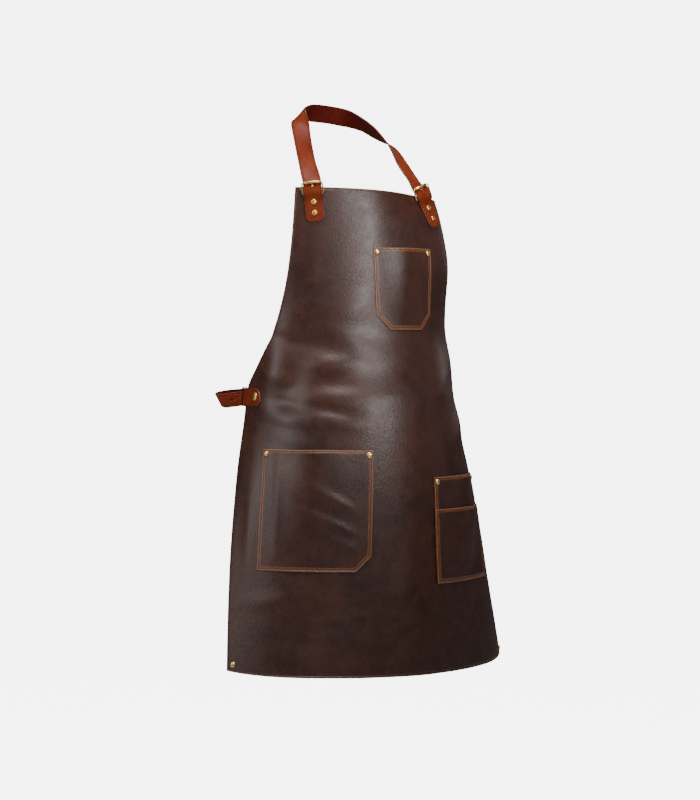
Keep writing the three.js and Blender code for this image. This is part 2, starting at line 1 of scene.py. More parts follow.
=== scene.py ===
import bpy
import numpy as np
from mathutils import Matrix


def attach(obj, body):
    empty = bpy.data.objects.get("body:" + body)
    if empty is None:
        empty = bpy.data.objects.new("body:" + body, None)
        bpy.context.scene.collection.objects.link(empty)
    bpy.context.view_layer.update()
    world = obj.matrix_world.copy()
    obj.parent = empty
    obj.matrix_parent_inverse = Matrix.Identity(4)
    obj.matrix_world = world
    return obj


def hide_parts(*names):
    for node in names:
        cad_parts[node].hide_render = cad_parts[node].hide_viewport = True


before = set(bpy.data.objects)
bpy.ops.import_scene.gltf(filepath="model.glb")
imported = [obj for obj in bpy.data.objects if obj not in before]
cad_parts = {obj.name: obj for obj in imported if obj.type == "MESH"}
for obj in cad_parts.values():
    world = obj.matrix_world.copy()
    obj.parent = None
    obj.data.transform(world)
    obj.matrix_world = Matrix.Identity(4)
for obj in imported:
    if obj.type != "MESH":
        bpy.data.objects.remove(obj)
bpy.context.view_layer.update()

# ---------------------------------------------------------------- Hide
# The apron's body is one cowhide of 2.2 mm, cut to a bib, two arm curves and a skirt. It is waxed on the
# grain side, left as suede on the flesh side, and a hot creaser has drawn a line just inside its cut edge.
# It hangs from the strap at the bib's corners and is drawn back by the belt at the waist.
NECK_REST = np.array([0.0, 68.0, 493.0])
HIDE_THICK = 2.2
SEAT = 0.15
HIDE_ROWS = np.array([
    # height above the waist, radius of the section, place of its middle, half width along it, in mm
    [-451.5, 300, -176, 310],
    [-294, 261, -165, 310],
    [-129, 217, -152, 309],
    [6, 183, -131.5, 308],
    [21, 182, -127, 294.5],
    [60, 181.5, -115, 248],
    [110, 182, -99, 202],
    [154, 190, -94, 181.5],
    [221, 206, -89, 163],
    [290, 226, -83, 152],
    [360.5, 242, -79, 145.5],
])
HIDE_FOLDS = np.array([
    # place across, height, direction from level, half length, half width, depth: the large folds
    [110, 392, 0, 82, 62, -27],
    [-196, 74, 62, 75, 24, 5],
    [-172, 30, 50, 70, 24, -5],
    [-190, -44, -30, 60, 24, 4],
    [196, 74, -62, 75, 24, 5],
    [190, -44, 30, 60, 24, 4],
    [-20, 50, 6, 120, 32, -4],
    [30, -390, 84, 130, 42, 5],
    [-140, -400, 96, 120, 44, -4],
    [150, 232, 90, 60, 70, 9],
    # the bib's soft swell, its dents by the arm curve, and the pull lines above the waist
    [-14, 270, 88, 100, 40, 2.6],
    [-65, 150, 30, 40, 24, 2.4],
    [-158, 99, -10, 52, 13, -3.8],
    [-188, 38, -6, 38, 14, 2.8],
    [-62, 104, -24, 40, 16, 2.6],
    [-105, 62, 4, 55, 15, 4],
    [-100, 30, 0, 44, 14, -3.2],
    [-185, -5, -12, 46, 11, -2.8],
    [-180, -28, -10, 46, 14, 1.8],
    [-104, -15, -12, 42, 11, -2.8],
    [-110, -30, -10, 50, 13, 2.2],
    [-190, -46, -12, 40, 13, -2.4],
    # ripples of the skirt
    [-266, -205, 88, 90, 14, 2.4],
    [-206, -326, 8, 58, 15, 2],
    [-108, -362, 14, 46, 15, 2],
    [-160, -392, 10, 56, 17, -2],
    [0, -320, 78, 80, 32, 2.2],
    [60, -250, 82, 90, 30, -2.2],
    [70, 60, 20, 60, 18, -2.4],
    [110, 20, 30, 60, 18, 2.4],
    [250, -240, 92, 100, 20, 2.4],
    [170, -380, 86, 80, 30, -2.4],
])


def smooth_step(value, low, high):
    """0 below low, 1 above high and an S curve, 3t squared less 2t cubed, between them."""
    t = np.clip((value - low) / (high - low), 0, 1)
    return t * t * (3 - 2 * t)


def unit(vectors):
    """Vectors divided by their own lengths."""
    return vectors / np.linalg.norm(vectors, axis=-1, keepdims=True)


def hide_column(z, column):
    """A column of the section rows at heights z: cubic pieces whose slope at a row is the harmonic mean of
    the slopes on both sides of it, or 0 at a peak, so the curve never overshoots its rows."""
    x, y = HIDE_ROWS[:, 0], HIDE_ROWS[:, column]
    step = np.diff(y) / np.diff(x)
    product = step[:-1] * step[1:]
    mean = np.where(product > 0, 2 * product / np.where(product > 0, step[:-1] + step[1:], 1), 0)
    slope = np.concatenate([step[:1], mean, step[-1:]])
    i = np.clip(np.searchsorted(x, z) - 1, 0, len(x) - 2)
    span = x[i + 1] - x[i]
    t = (z - x[i]) / span
    rise = t * t * (3 - 2 * t)
    tails = slope[i] * span * t * (1 - t) ** 2 - slope[i + 1] * span * t * t * (1 - t)
    return y[i] * (1 - rise) + y[i + 1] * rise + tails


def fold_depth(s, z, folds):
    """All folds together: each is a bell curve along its crease times a bell curve across it."""
    tilt = np.radians(folds[:, 2])
    ds, dz = s[..., None] - folds[:, 0], z[..., None] - folds[:, 1]
    along = (ds * np.cos(tilt) + dz * np.sin(tilt)) / folds[:, 3]
    aside = (dz * np.cos(tilt) - ds * np.sin(tilt)) / folds[:, 4]
    return (folds[:, 5] * np.exp(-along ** 2 - aside ** 2)).sum(-1)


def hide_point(s, z):
    """The hide's middle surface: at each height an arc, s along it, pushed in or out by the folds."""
    radius = hide_column(z, 1)
    angle = s / radius
    out = radius + fold_depth(s, z, HIDE_FOLDS)
    centre = hide_column(z, 2) + radius
    return np.stack([out * np.sin(angle), centre - out * np.cos(angle), z], -1)


def hide_normal(s, z):
    """The outward normal: the slope across the hide crossed with the slope up it."""
    across, upward = hide_point(s + 1, z) - hide_point(s - 1, z), hide_point(s, z + 1) - hide_point(s, z - 1)
    return unit(np.cross(across, upward))


def on_hide(s, z, off):
    """A point that lies off outside the hide's middle surface, along its normal."""
    s, z, off = (np.asarray(each, float) for each in np.broadcast_arrays(s, z, off))
    return hide_point(s, z) + hide_normal(s, z) * off[..., None]


def cut_lines(count, margin):
    """Even shares from 0 to 1, with one more line close to each end so that the cut edge stays crisp."""
    return np.concatenate([[0, margin], np.linspace(0, 1, count)[1:-1], [1 - margin, 1]])


def make_piece(name, points, groups, finishes, flat=None, values=None):
    """A mesh object at the origin. Points are in mm above the waist line and are moved to the frame's origin
    and to metres. Each group is an array of faces and the number of its finish; unused points are dropped."""
    used = np.unique(np.concatenate([faces.ravel() for faces, _ in groups]))
    number = np.zeros(len(points), int)
    number[used] = np.arange(len(used))
    corners = np.concatenate([number[faces].ravel() for faces, _ in groups])
    sizes = np.concatenate([np.full(len(faces), faces.shape[1]) for faces, _ in groups])
    mesh = bpy.data.meshes.new(name)
    mesh.vertices.add(len(used))
    mesh.vertices.foreach_set("co", ((points[used] - NECK_REST) * 0.001).ravel())
    mesh.loops.add(len(corners))
    mesh.loops.foreach_set("vertex_index", corners.astype(np.int32))
    mesh.polygons.add(len(sizes))
    mesh.polygons.foreach_set("loop_start", (np.cumsum(sizes) - sizes).astype(np.int32))
    finish_numbers = np.concatenate([np.full(len(faces), finish) for faces, finish in groups])
    mesh.polygons.foreach_set("material_index", finish_numbers.astype(np.int32))
    mesh.polygons.foreach_set("use_smooth", np.ones(len(sizes), bool))
    mesh.update(calc_edges=True)
    if flat is not None:
        layer = mesh.uv_layers.new(name="flat")
        layer.data.foreach_set("uv", flat[used][corners].astype(np.float32).ravel())
    for key, value in (values or {}).items():
        attribute = mesh.attributes.new(key, "FLOAT", "POINT")
        attribute.data.foreach_set("value", value[used].astype(np.float32))
    mesh.validate()
    piece = bpy.data.objects.new(name, mesh)
    bpy.context.scene.collection.objects.link(piece)
    for finish in finishes:
        mesh.materials.append(finish)
    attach(piece, "root")
    return piece


def edge_distance(u, v, outline):
    """Distance of flat points from an outline: the least distance to any of its straight stretches."""
    start, run = outline, np.roll(outline, -1, axis=0) - outline
    du, dv = u[:, None] - start[:, 0], v[:, None] - start[:, 1]
    t = np.clip((du * run[:, 0] + dv * run[:, 1]) / np.maximum((run ** 2).sum(1), 1e-9), 0, 1)
    return np.sqrt(((du - t * run[:, 0]) ** 2 + (dv - t * run[:, 1]) ** 2).min(1))


def ring_faces(here, ahead):
    """Four-cornered faces from rings of point numbers to the rings ahead of them."""
    return np.stack([here, ahead, np.roll(ahead, -1, axis=1), np.roll(here, -1, axis=1)], -1).reshape(-1, 4)


def leather_panel(name, u, v, place, thick, finishes, pattern=(0, 0), bulge=0.3, holes=()):
    """A cut piece of leather, closed all round. u and v are grids of its flat coordinates in mm, and
    place(u, v, off) is the point off outside its middle surface. The grain side is the grid half the
    thickness out, the flesh side is the same grid turned over, and the cut edge is a half round carried
    along the outline. A hole draws in the twelve points round a block of three by three cells to an oval,
    takes the block away and joins both sides by a wall. edge_mm is the distance from the cut edge."""
    rows, columns = u.shape
    u, v = u.copy(), v.copy()
    index = np.arange(rows * columns).reshape(rows, columns)
    kept = np.ones((rows - 1, columns - 1), bool)
    rings = []
    for at_u, at_v, half_u, half_v in holes:
        c = np.searchsorted(u[rows // 2], at_u) - 2
        r = np.searchsorted(v[:, columns // 2], at_v) - 2
        block = index[r:r + 4, c:c + 4]
        ring = np.concatenate([block[0, :3], block[:3, 3], block[3, :0:-1], block[:0:-1, 0]])
        turn = np.radians(-135 + 30 * np.arange(12))
        u.flat[ring], v.flat[ring] = at_u + half_u * np.cos(turn), at_v + half_v * np.sin(turn)
        kept[r:r + 3, c:c + 3] = False
        rings.append(ring)
    grid = np.stack([index[:-1, :-1], index[:-1, 1:], index[1:, 1:], index[1:, :-1]], -1)[kept]
    loop = np.concatenate([index[0, :-1], index[:-1, -1], index[-1, :0:-1], index[:0:-1, 0]])
    edge_u, edge_v = u.flat[loop], v.flat[loop]
    run_u, run_v = np.roll(edge_u, -1) - np.roll(edge_u, 1), np.roll(edge_v, -1) - np.roll(edge_v, 1)
    run = np.hypot(run_u, run_v)
    turns = np.pi * np.arange(1, 6)[:, None] / 6
    reach = bulge * thick * np.sin(turns)
    rim_u, rim_v = edge_u + reach * run_v / run, edge_v - reach * run_u / run
    points = np.concatenate([
        place(u, v, thick / 2).reshape(-1, 3),
        place(u, v, -thick / 2).reshape(-1, 3),
        place(rim_u, rim_v, thick / 2 * np.cos(turns) * np.ones_like(rim_u)).reshape(-1, 3),
    ])
    size = rows * columns
    around = np.concatenate([
        loop[None], 2 * size + np.arange(rim_u.size).reshape(rim_u.shape), size + loop[None]])
    rim = ring_faces(around[:-1], around[1:])
    walls = [np.stack([ring, np.roll(ring, -1), size + np.roll(ring, -1), size + ring], -1) for ring in rings]
    skip = max(1, len(loop) // 260)  # a long outline is measured by some of its points
    near = edge_distance(u.ravel(), v.ravel(), np.stack([edge_u, edge_v], -1)[::skip])
    flat = np.stack([np.concatenate([whole.ravel(), whole.ravel(), border.ravel()])
                     for whole, border in ((u, rim_u), (v, rim_v))], -1) * 0.001 + np.array(pattern)
    groups = [(grid, 0), (grid[:, ::-1] + size, 1), (np.concatenate([rim, *walls]), 2)]
    return make_piece(name, points, groups, finishes, flat,
                      {"edge_mm": np.concatenate([near, near, np.zeros(rim_u.size)])})


def srgb(code):
    """An sRGB hex colour as linear red, green, blue and 1."""
    value = np.array([int(code[i:i + 2], 16) for i in (1, 3, 5)]) / 255
    return (*np.where(value > 0.04045, ((value + 0.055) / 1.055) ** 2.4, value / 12.92), 1)


def fill_inputs(tree, node, inputs):
    """Links or sets inputs of a node, by name or number."""
    for key, value in inputs.items():
        if isinstance(value, bpy.types.NodeSocket):
            tree.links.new(value, node.inputs[key])
        else:
            node.inputs[key].default_value = value


def add_node(tree, kind, inputs=None, **settings):
    """Adds a shader node with its settings and inputs."""
    node = tree.nodes.new("ShaderNode" + kind)
    for key, value in settings.items():
        setattr(node, key, value)
    fill_inputs(tree, node, inputs or {})
    return node


def noise(tree, place, size_mm, detail, rough=0.5, twist=0.0):
    """Soft noise round a middle of 0.5, in lumps of this size with finer ones on them."""
    return add_node(tree, "TexNoise", {"Vector": place, "Scale": 1000 / size_mm, "Detail": detail,
                                       "Roughness": rough, "Distortion": twist}).outputs["Fac"]


def ramp(tree, value, low, high, start=0.0, end=1.0, curve="LINEAR"):
    """A value carried from the span low to high over to the span start to end, and held at both ends."""
    return add_node(tree, "MapRange", {0: value, 1: low, 2: high, 3: start, 4: end},
                    interpolation_type=curve).outputs[0]


def blend(tree, share, first, second):
    """The first colour where the share is 0, the second where it is 1, and a mix between."""
    return add_node(tree, "Mix", {0: share, 6: first, 7: second}, data_type="RGBA").outputs[2]


def reckon(tree, operation, *values):
    """One step of arithmetic on numbers and sockets."""
    return add_node(tree, "Math", dict(enumerate(values)), operation=operation).outputs[0]


def bump(tree, height, strength, depth):
    """A normal tilted by the slope of a height that is worth this depth in metres."""
    return add_node(tree, "Bump", {"Height": height, "Strength": strength, "Distance": depth}).outputs[0]


def new_finish(name):
    """A material with an empty node tree, its shader and its output joined."""
    finish = bpy.data.materials.new(name)
    finish.use_nodes = True
    tree = finish.node_tree
    tree.nodes.clear()
    shader = add_node(tree, "BsdfPrincipled")
    add_node(tree, "OutputMaterial", {"Surface": shader.outputs[0]})
    return finish, tree, shader


def grain_leather(name, deep, body, light, edge, cloud_mm, fleck_mm, crease_mm, gloss, line=0.6, band=0.0,
                  patch_shadow=False, reflect=0.5):
    """Grain side of waxed leather. The eye sees large soft clouds where the wax has moved, small flecks, a
    paler cut edge, a dark creased line just inside it, a fine pebble and an uneven soft shine. A sewn border
    is paler by its band share, and a dark painted shadow is laid round the outline of a patch sewn on it.
    The pebble is drawn at 3 mm, about twice its real size, so that it shows in the render."""
    finish, tree, shader = new_finish(name)
    pebble_mm, wrinkle_mm, soft = 3, 9, "SMOOTHSTEP"
    flat = add_node(tree, "TexCoord").outputs["UV"]
    cut = add_node(tree, "Attribute", attribute_name="edge_mm").outputs["Fac"]
    cloud = noise(tree, flat, cloud_mm, 3, twist=0.6)
    fleck = noise(tree, flat, fleck_mm, 6, 0.62)
    pebble = add_node(tree, "TexVoronoi", {"Vector": flat, "Scale": 1000 / pebble_mm, "Smoothness": 0.7},
                      feature="SMOOTH_F1").outputs["Distance"]
    wrinkle = noise(tree, flat, wrinkle_mm, 5, 0.6, 1.2)
    tone = blend(tree, ramp(tree, cloud, 0.3, 0.7, curve=soft), srgb(deep), srgb(body))
    tone = blend(tree, ramp(tree, fleck, 0.42, 0.8, 0, 0.45), tone, srgb(light))
    if band:
        tone = blend(tree, ramp(tree, cut, 4.6, 6.4, band, 0, soft), tone, srgb(edge))
    if patch_shadow:
        # Painted shadow: the hide is darkened just round each pocket patch's outline, in place of its contact
        # shade.
        patch = add_node(tree, "Attribute", attribute_name="patch_shadow_mm").outputs["Fac"]
        tone = blend(tree, ramp(tree, patch, 0.8, 4.5, 0.85, 0, soft), tone, srgb("#0c0402"))
    away = reckon(tree, "ABSOLUTE", reckon(tree, "SUBTRACT", cut, crease_mm))
    groove = ramp(tree, away, 0.25, 1.1, 1, 0, soft)
    tone = blend(tree, reckon(tree, "MULTIPLY", groove, line), tone, srgb(deep))
    tone = blend(tree, ramp(tree, cut, 0.3, 1.8, 0.85, 0, soft), tone, srgb(edge))
    height = reckon(tree, "MULTIPLY_ADD", pebble, 0.35, wrinkle)
    height = reckon(tree, "MULTIPLY_ADD", groove, -2.2, height)
    fill_inputs(tree, shader, {
        "Base Color": tone, "Roughness": ramp(tree, fleck, 0.3, 0.7, *gloss),
        "Normal": bump(tree, height, 0.6, 0.00045), "IOR": 1.5, "Specular IOR Level": reflect})
    return finish


def flesh_leather(name, deep, body, nap_mm, rough):
    """Flesh side of leather. The eye sees a dull nap with soft blotches and loose fibres, and no shine."""
    finish, tree, shader = new_finish(name)
    flat = add_node(tree, "TexCoord").outputs["UV"]
    blotch, nap = noise(tree, flat, 45, 5), noise(tree, flat, nap_mm, 6, 0.75)
    share = ramp(tree, reckon(tree, "ADD", blotch, nap), 0.75, 1.25)
    fill_inputs(tree, shader, {
        "Base Color": blend(tree, share, srgb(deep), srgb(body)), "Roughness": rough,
        "Normal": bump(tree, nap, 0.6, 0.0008), "Specular IOR Level": 0.12})
    return finish


def cut_leather(name, deep, body, rough):
    """Cut edge of leather. The eye sees a paler, fibrous stripe, rubbed smooth in places."""
    finish, tree, shader = new_finish(name)
    fibre = noise(tree, add_node(tree, "TexCoord").outputs["Object"], 6, 5, 0.7)
    tone = blend(tree, ramp(tree, fibre, 0.35, 0.65), srgb(deep), srgb(body))
    fill_inputs(tree, shader, {
        "Base Color": tone, "Roughness": rough, "Normal": bump(tree, fibre, 0.4, 0.0003)})
    return finish


HIDE_TONES = ("#250a03", "#331306", "#451b0a", "#7e4a28")
# The hide's finish paints a dark shadow round the outlines of the pocket patches.
hide_grain = grain_leather("waxed_pull_up_cowhide", *HIDE_TONES, 120, 26, 3.2, (0.39, 0.49), patch_shadow=True)
hide_flesh = flesh_leather("cowhide_flesh_suede", "#4a3022", "#6b4a36", 2.5, 0.92)
hide_edge = cut_leather("cowhide_cut_edge", "#623519", "#946038", 0.55)

BIB_TOP, HEM = HIDE_ROWS[-1, 0], HIDE_ROWS[0, 0]
BIB_DROP, HEM_RISE, HEM_CORNER = 15, 4, 297.5
bib_half = HIDE_ROWS[-1, 3]
level = HEM + (BIB_TOP - HEM) * cut_lines(221, 0.0012)[:, None]
side = 2 * cut_lines(151, 0.0016)[None, :] - 1
hide_s = side * hide_column(level, 3)
bib_drop = BIB_DROP * ((hide_s + bib_half) / (2 * bib_half)) ** 2 * smooth_step(level, 150, BIB_TOP)
hem_rise = HEM_RISE * (np.abs(hide_s) / HEM_CORNER) ** 6 * (1 - smooth_step(level, HEM, -330))
hide_z = level - bib_drop + hem_rise
hide = leather_panel("hide", hide_s, hide_z, on_hide, HIDE_THICK, [hide_grain, hide_flesh, hide_edge])
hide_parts("apron_body")

# ---------------------------------------------------------------- Patch pockets
# Four patches of 1.8 mm hide lie on the grain side, sewn along their sides and foot and open at the mouth.
# The chest and hand pockets have clipped lower corners; the tool pocket has a shorter tier in front of it.
POCKET_THICK = 1.8
SEAM_SHARE = 0.09
STITCH_IN = 6.0
STITCH_PITCH = 4.6
STITCH_LONG = 3.3
THREAD_RADIUS = 0.42
POCKETS = {
    # left, right, top and foot on the hide, lean of the foot, swell of the mouth, clipped corners, tiers below
    "chest_pocket": dict(box=(-15.5, 101, 258.5, 121), lean=2, swell=5, clips=(25, 25), tiers=0),
    "hand_pocket": dict(box=(-237, -43, -80.5, -278.5), lean=-12, swell=9, clips=(0, 25), tiers=0),
    "tool_pocket": dict(box=(73, 231, -128, -304), lean=-3, swell=8, clips=(0, 0), tiers=0),
    "tool_pocket_front": dict(box=(72, 230, -182, -304), lean=-3, swell=6.5, clips=(0, 0), tiers=1),
}
POCKET_PUCKERS = np.array([
    # place across, height, direction from level, half length, half width, depth
    [-116, -157, -29, 36, 8, 2.4],
    [-112, -200, -27, 38, 8, 2.4],
    [-142, -178, -28, 40, 9, -1.6],
    [-214, -170, 86, 80, 12, 1.8],
    [-90, -236, -24, 34, 10, 1.4],
    [40, 205, 84, 50, 16, 1.0],
    [60, 160, 10, 36, 12, -0.8],
    [150, -240, 86, 60, 18, 1.2],
])


def pocket_sides(pocket, z):
    """Left and right edges of a pocket at heights z: its box, moved by the lean towards the foot and drawn
    in by the clipped corners."""
    left, right, top, foot = pocket["box"]
    above = z - foot
    lean = pocket["lean"] * (1 - above / (top - foot))
    cut = [np.maximum(0, clip - above) for clip in pocket["clips"]]
    return left + lean + cut[0], right + lean - cut[1]


def pocket_swell(pocket, s, z):
    """How far a pocket stands off: a squared sine from seam to seam that grows from the foot to the mouth,
    with the puckers of the slack leather added between the seams."""
    left, right = pocket_sides(pocket, z)
    top, foot = pocket["box"][2:]
    free = np.clip(((s - left) / (right - left) - SEAM_SHARE) / (1 - 2 * SEAM_SHARE), 0, 1)
    arch = np.sin(np.pi * free) ** 2
    mouth = smooth_step((z - foot) / (top - foot), 0.08, 1)
    slack = smooth_step(free, 0, 0.12) * smooth_step(1 - free, 0, 0.12) * smooth_step(z, foot + 8, foot + 26)
    return pocket["swell"] * arch * mouth + slack * fold_depth(s, z, POCKET_PUCKERS)


def on_pocket(pocket):
    """The pocket's own place function: the hide, the tiers below it, its swell, and off outside that."""
    under = HIDE_THICK / 2 + SEAT + POCKET_THICK / 2 + pocket["tiers"] * (POCKET_THICK + SEAT)

    def place(s, z, off):
        s, z = np.broadcast_arrays(np.asarray(s, float), np.asarray(z, float))
        lift = pocket_swell(pocket, s, z)
        if pocket["tiers"]:
            lift = lift + pocket_swell(POCKETS["tool_pocket"], s, z)
        return on_hide(s, z, under + lift + off)
    return place


def pocket_panel(name, pocket, pattern):
    """Rows from foot to mouth, close together over the clipped corners, and even columns from side to side."""
    top, foot = pocket["box"][2:]
    clip = max(*pocket["clips"], 20)
    rows = np.concatenate([foot + clip * cut_lines(13, 0.02)[:-2],
                           foot + clip + (top - foot - clip) * cut_lines(66, 0.004)])
    shares = cut_lines(80, 0.003)
    z = np.repeat(np.unique(rows)[:, None], len(shares), axis=1)
    low, high = pocket_sides(pocket, z)
    return leather_panel(name, low + (high - low) * shares, z, on_pocket(pocket), POCKET_THICK,
                         [patch_grain, hide_flesh, hide_edge], pattern)


def stitch_row(name, corners, place, lift, finish):
    """Thread stitches along a flat path of corners: on each straight the stitches are evenly spaced at about
    the pitch. A stitch is a spindle of three rings of six points between two tips, bowed over the leather so
    that its tips go in."""
    starts, runs = corners[:-1], np.diff(corners, axis=0)
    lengths = np.linalg.norm(runs, axis=1)
    counts = np.maximum(1, np.round(lengths / STITCH_PITCH)).astype(int)
    straight = np.repeat(np.arange(len(counts)), counts)
    order = np.arange(counts.sum()) - np.repeat(np.cumsum(counts) - counts, counts)
    middle = starts[straight] + runs[straight] * ((order + 0.5) / counts[straight])[:, None]
    heading = runs[straight] / lengths[straight][:, None]
    along = np.array([-1, -0.78, 0, 0.78, 1]) * STITCH_LONG / 2
    swell = np.array([0, 0.8, 1, 0.8, 0]) * THREAD_RADIUS
    bow = np.array([-0.45, 0.05, 0.3, 0.05, -0.45])
    sides = 6
    turn = 2 * np.pi * np.arange(sides) / sides
    aside = swell[:, None] * np.cos(turn)
    rise = lift + bow[:, None] + swell[:, None] * np.sin(turn)
    at_u, at_v = middle.T[:, :, None, None]
    to_u, to_v = heading.T[:, :, None, None]
    u = at_u + to_u * along[:, None] - to_v * aside
    v = at_v + to_v * along[:, None] + to_u * aside
    points = place(u, v, np.broadcast_to(rise, u.shape)).reshape(-1, 3)
    base = rise.size * np.arange(len(middle))[:, None, None]
    ring, step = np.arange(1, 3)[:, None], np.arange(sides)[None, :]
    after = (step + 1) % sides
    a, b = ring * sides + step, ring * sides + after
    quads = (base + np.stack([a, a + sides, b + sides, b], -1).reshape(1, -1, 4)).reshape(-1, 4)
    low, high, tip = sides, 3 * sides, 4 * sides
    ends = np.concatenate([np.stack([0 * step, low + step, low + after], -1),
                           np.stack([tip + 0 * step, high + after, high + step], -1)], 1)
    tips = (base + ends.reshape(1, -1, 3)).reshape(-1, 3)
    return make_piece(name, points, [(quads, 0), (tips, 0)], [finish])


def inset_path(pocket, inset, short):
    """The seam line: the outline from short of the mouth down one side, along the foot and up the other, with
    every straight moved in and its corners where the moved straights meet."""
    top, foot = pocket["box"][2:]
    heights = np.array([top, foot + pocket["clips"][0], foot, foot, foot + pocket["clips"][1], top])
    low, high = pocket_sides(pocket, heights)
    outline = np.stack([np.where(np.arange(6) < 3, low, high), heights], -1)
    runs = np.diff(outline, axis=0)
    whole = np.linalg.norm(runs, axis=1) > 1
    starts, runs = outline[:-1][whole], unit(runs[whole])
    starts = starts + inset * np.stack([-runs[:, 1], runs[:, 0]], -1)
    cross = runs[:-1, 0] * runs[1:, 1] - runs[:-1, 1] * runs[1:, 0]
    gap = starts[1:] - starts[:-1]
    reach = (gap[:, 0] * runs[1:, 1] - gap[:, 1] * runs[1:, 0]) / cross
    meets = starts[:-1] + runs[:-1] * reach[:, None]
    first = starts[0] + runs[0] * short
    last = meets[-1] + runs[-1] * (top - short - meets[-1, 1]) / runs[-1, 1]
    return np.concatenate([first[None], meets, last[None]])


def linen_thread(name, deep, body):
    """Waxed linen thread. The eye sees tan spindles with a dull shine, darker in soft patches of dirt.
    The twist is drawn at 0.9 mm, coarser than it is, so that it shows in the render."""
    finish, tree, shader = new_finish(name)
    twist_mm = 0.9
    place = add_node(tree, "TexCoord").outputs["Object"]
    twist = add_node(tree, "TexWave", {"Vector": place, "Scale": 1000 / twist_mm / 6.283, "Distortion": 1.5},
                     bands_direction="DIAGONAL").outputs["Fac"]
    tone = blend(tree, noise(tree, place, 14, 3), srgb(deep), srgb(body))
    fill_inputs(tree, shader, {
        "Base Color": tone, "Roughness": 0.55, "Normal": bump(tree, twist, 0.4, 0.0002)})
    return finish


patch_grain = grain_leather("waxed_pull_up_cowhide_patch", *HIDE_TONES, 120, 26, 2.4, (0.39, 0.49), 0.3, 0.35)
thread = linen_thread("waxed_linen_thread", "#6e3f24", "#a06a40")
for number, (name, pocket) in enumerate(POCKETS.items(), 1):
    patch = pocket_panel(name + "_patch", pocket, (0.37 * number, 0.23 * number))
    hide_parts(name)
    seam = stitch_row(name + "_stitches", inset_path(pocket, STITCH_IN, 15.0), on_pocket(pocket),
                      POCKET_THICK / 2, thread)
    left, right, top, foot = pocket["box"]

# Each hide point's distance from the pocket outlines, negative inside them, for the dark shadow that the hide's
# finish paints round each pocket.
level_s, level_z = (np.concatenate([each.ravel(), each.ravel()]) for each in (hide_s, hide_z))
patch_shadow_mm = np.full(len(hide.data.vertices), 50.0)
for name in ("chest_pocket", "hand_pocket", "tool_pocket"):
    outline = inset_path(POCKETS[name], 0.0, 0.0)
    low, high = pocket_sides(POCKETS[name], level_z)
    top, foot = POCKETS[name]["box"][2:]
    inside = (level_s > low) & (level_s < high) & (level_z < top) & (level_z > foot)
    away = edge_distance(level_s, level_z, outline) * np.where(inside, -1, 1)
    patch_shadow_mm[:len(away)] = np.minimum(patch_shadow_mm[:len(away)], away)
hide.data.attributes.new("patch_shadow_mm", "FLOAT", "POINT").data.foreach_set("value", patch_shadow_mm.astype(np.float32))

# ---------------------------------------------------------------- Neck strap
# One strap of cognac bridle leather, 30 mm by 2.8 mm, with an end riveted to each corner of the bib, flat on
# the right and a little turned on the left. It goes up through one buckle, round the neck and down through
# the other. Its edges are rubbed and creased.
STRAP_WIDTH = 30.0
STRAP_THICK = 2.8
BIB_CORNERS = {
    # heel bar's place, lean of the strap, distances down it; turn and lift of the strap at its end and buckle
    "right": dict(s=-115.5, z=348.5, lean=-4, rivets=(13, 31.5), end=45.5, turn=(0, 0), lift=(0, 0), slide=0),
    "left": dict(s=111, z=346.6, lean=-15, rivets=(17.5, 36), end=49.5, turn=(-6, -18), lift=(0.8, 3.6),
                 slide=-9),
}
TURN_SPAN, SLIDE_SPAN = (-26, -2), (-28, 10)
STRAP_HOLES = (
    # corner, distance up the strap, half length and half width: one for each prong, and a spare one
    ("right", 13, 3.0, 1.3), ("left", 13, 3.0, 1.3), ("left", -10, 1.5, 1.5),
)
NECK_LOOP = np.array([
    # place, then the way the outer side looks: 0 is to the front and -90 to the right, and up to the sky
    [-110, -22, 408, -4, 26], [-110, -5, 443.5, -5, 30], [-107, 10, 465.5, -20, 37], [-102, 28, 489, -87, 36],
    [-88.5, 43, 493.5, -132, 36], [-69, 56, 497, -154, 24], [-40, 64.5, 497, -166, 4], [-13, 70, 495, -182, 4],
    [10, 65, 490, -214, 28], [28, 51, 480, -246, 40], [44, 38, 466, -260, 42], [56, 29, 454, -280, 48],
    [73, 19.5, 437, -318, 42], [84, 4, 409, -334, 36], [89, -18, 386, -338, 30],
])


def look(rows):
    """Unit directions from compass and sky angles in degrees."""
    facing, up = np.radians(rows[:, 3]), np.radians(rows[:, 4])
    return np.stack([np.sin(facing) * np.cos(up), -np.cos(facing) * np.cos(up), np.sin(up)], -1)


def corner_place(corner, up, aside=0.0):
    """Place on the hide this far up the strap from the buckle's heel bar and this far to its left side."""
    lean = np.radians(corner["lean"])
    return (corner["s"] + up * np.sin(lean) + aside * np.cos(lean),
            corner["z"] + up * np.cos(lean) - aside * np.sin(lean))


def corner_share(up, pair):
    """A turn or lift that goes from its value at the strap's end to its value at the buckle."""
    return pair[0] + (pair[1] - pair[0]) * smooth_step(up, *TURN_SPAN)


def corner_aside(corner, up):
    """The sideways slide of a corner's strap, which grows smoothly up the strap."""
    return corner["slide"] * smooth_step(up, *SLIDE_SPAN)


def corner_look(corner, up, turn):
    """The hide's normal at a place on the strap, turned in degrees about the strap's own direction."""
    s, z = corner_place(corner, np.asarray(up, float))
    normal, turn = hide_normal(s, z), np.radians(turn)
    run = unit(hide_point(*corner_place(corner, up + 1.0)) - hide_point(*corner_place(corner, up - 1.0)))
    return normal * np.cos(turn)[..., None] + np.cross(run, normal) * np.sin(turn)[..., None]


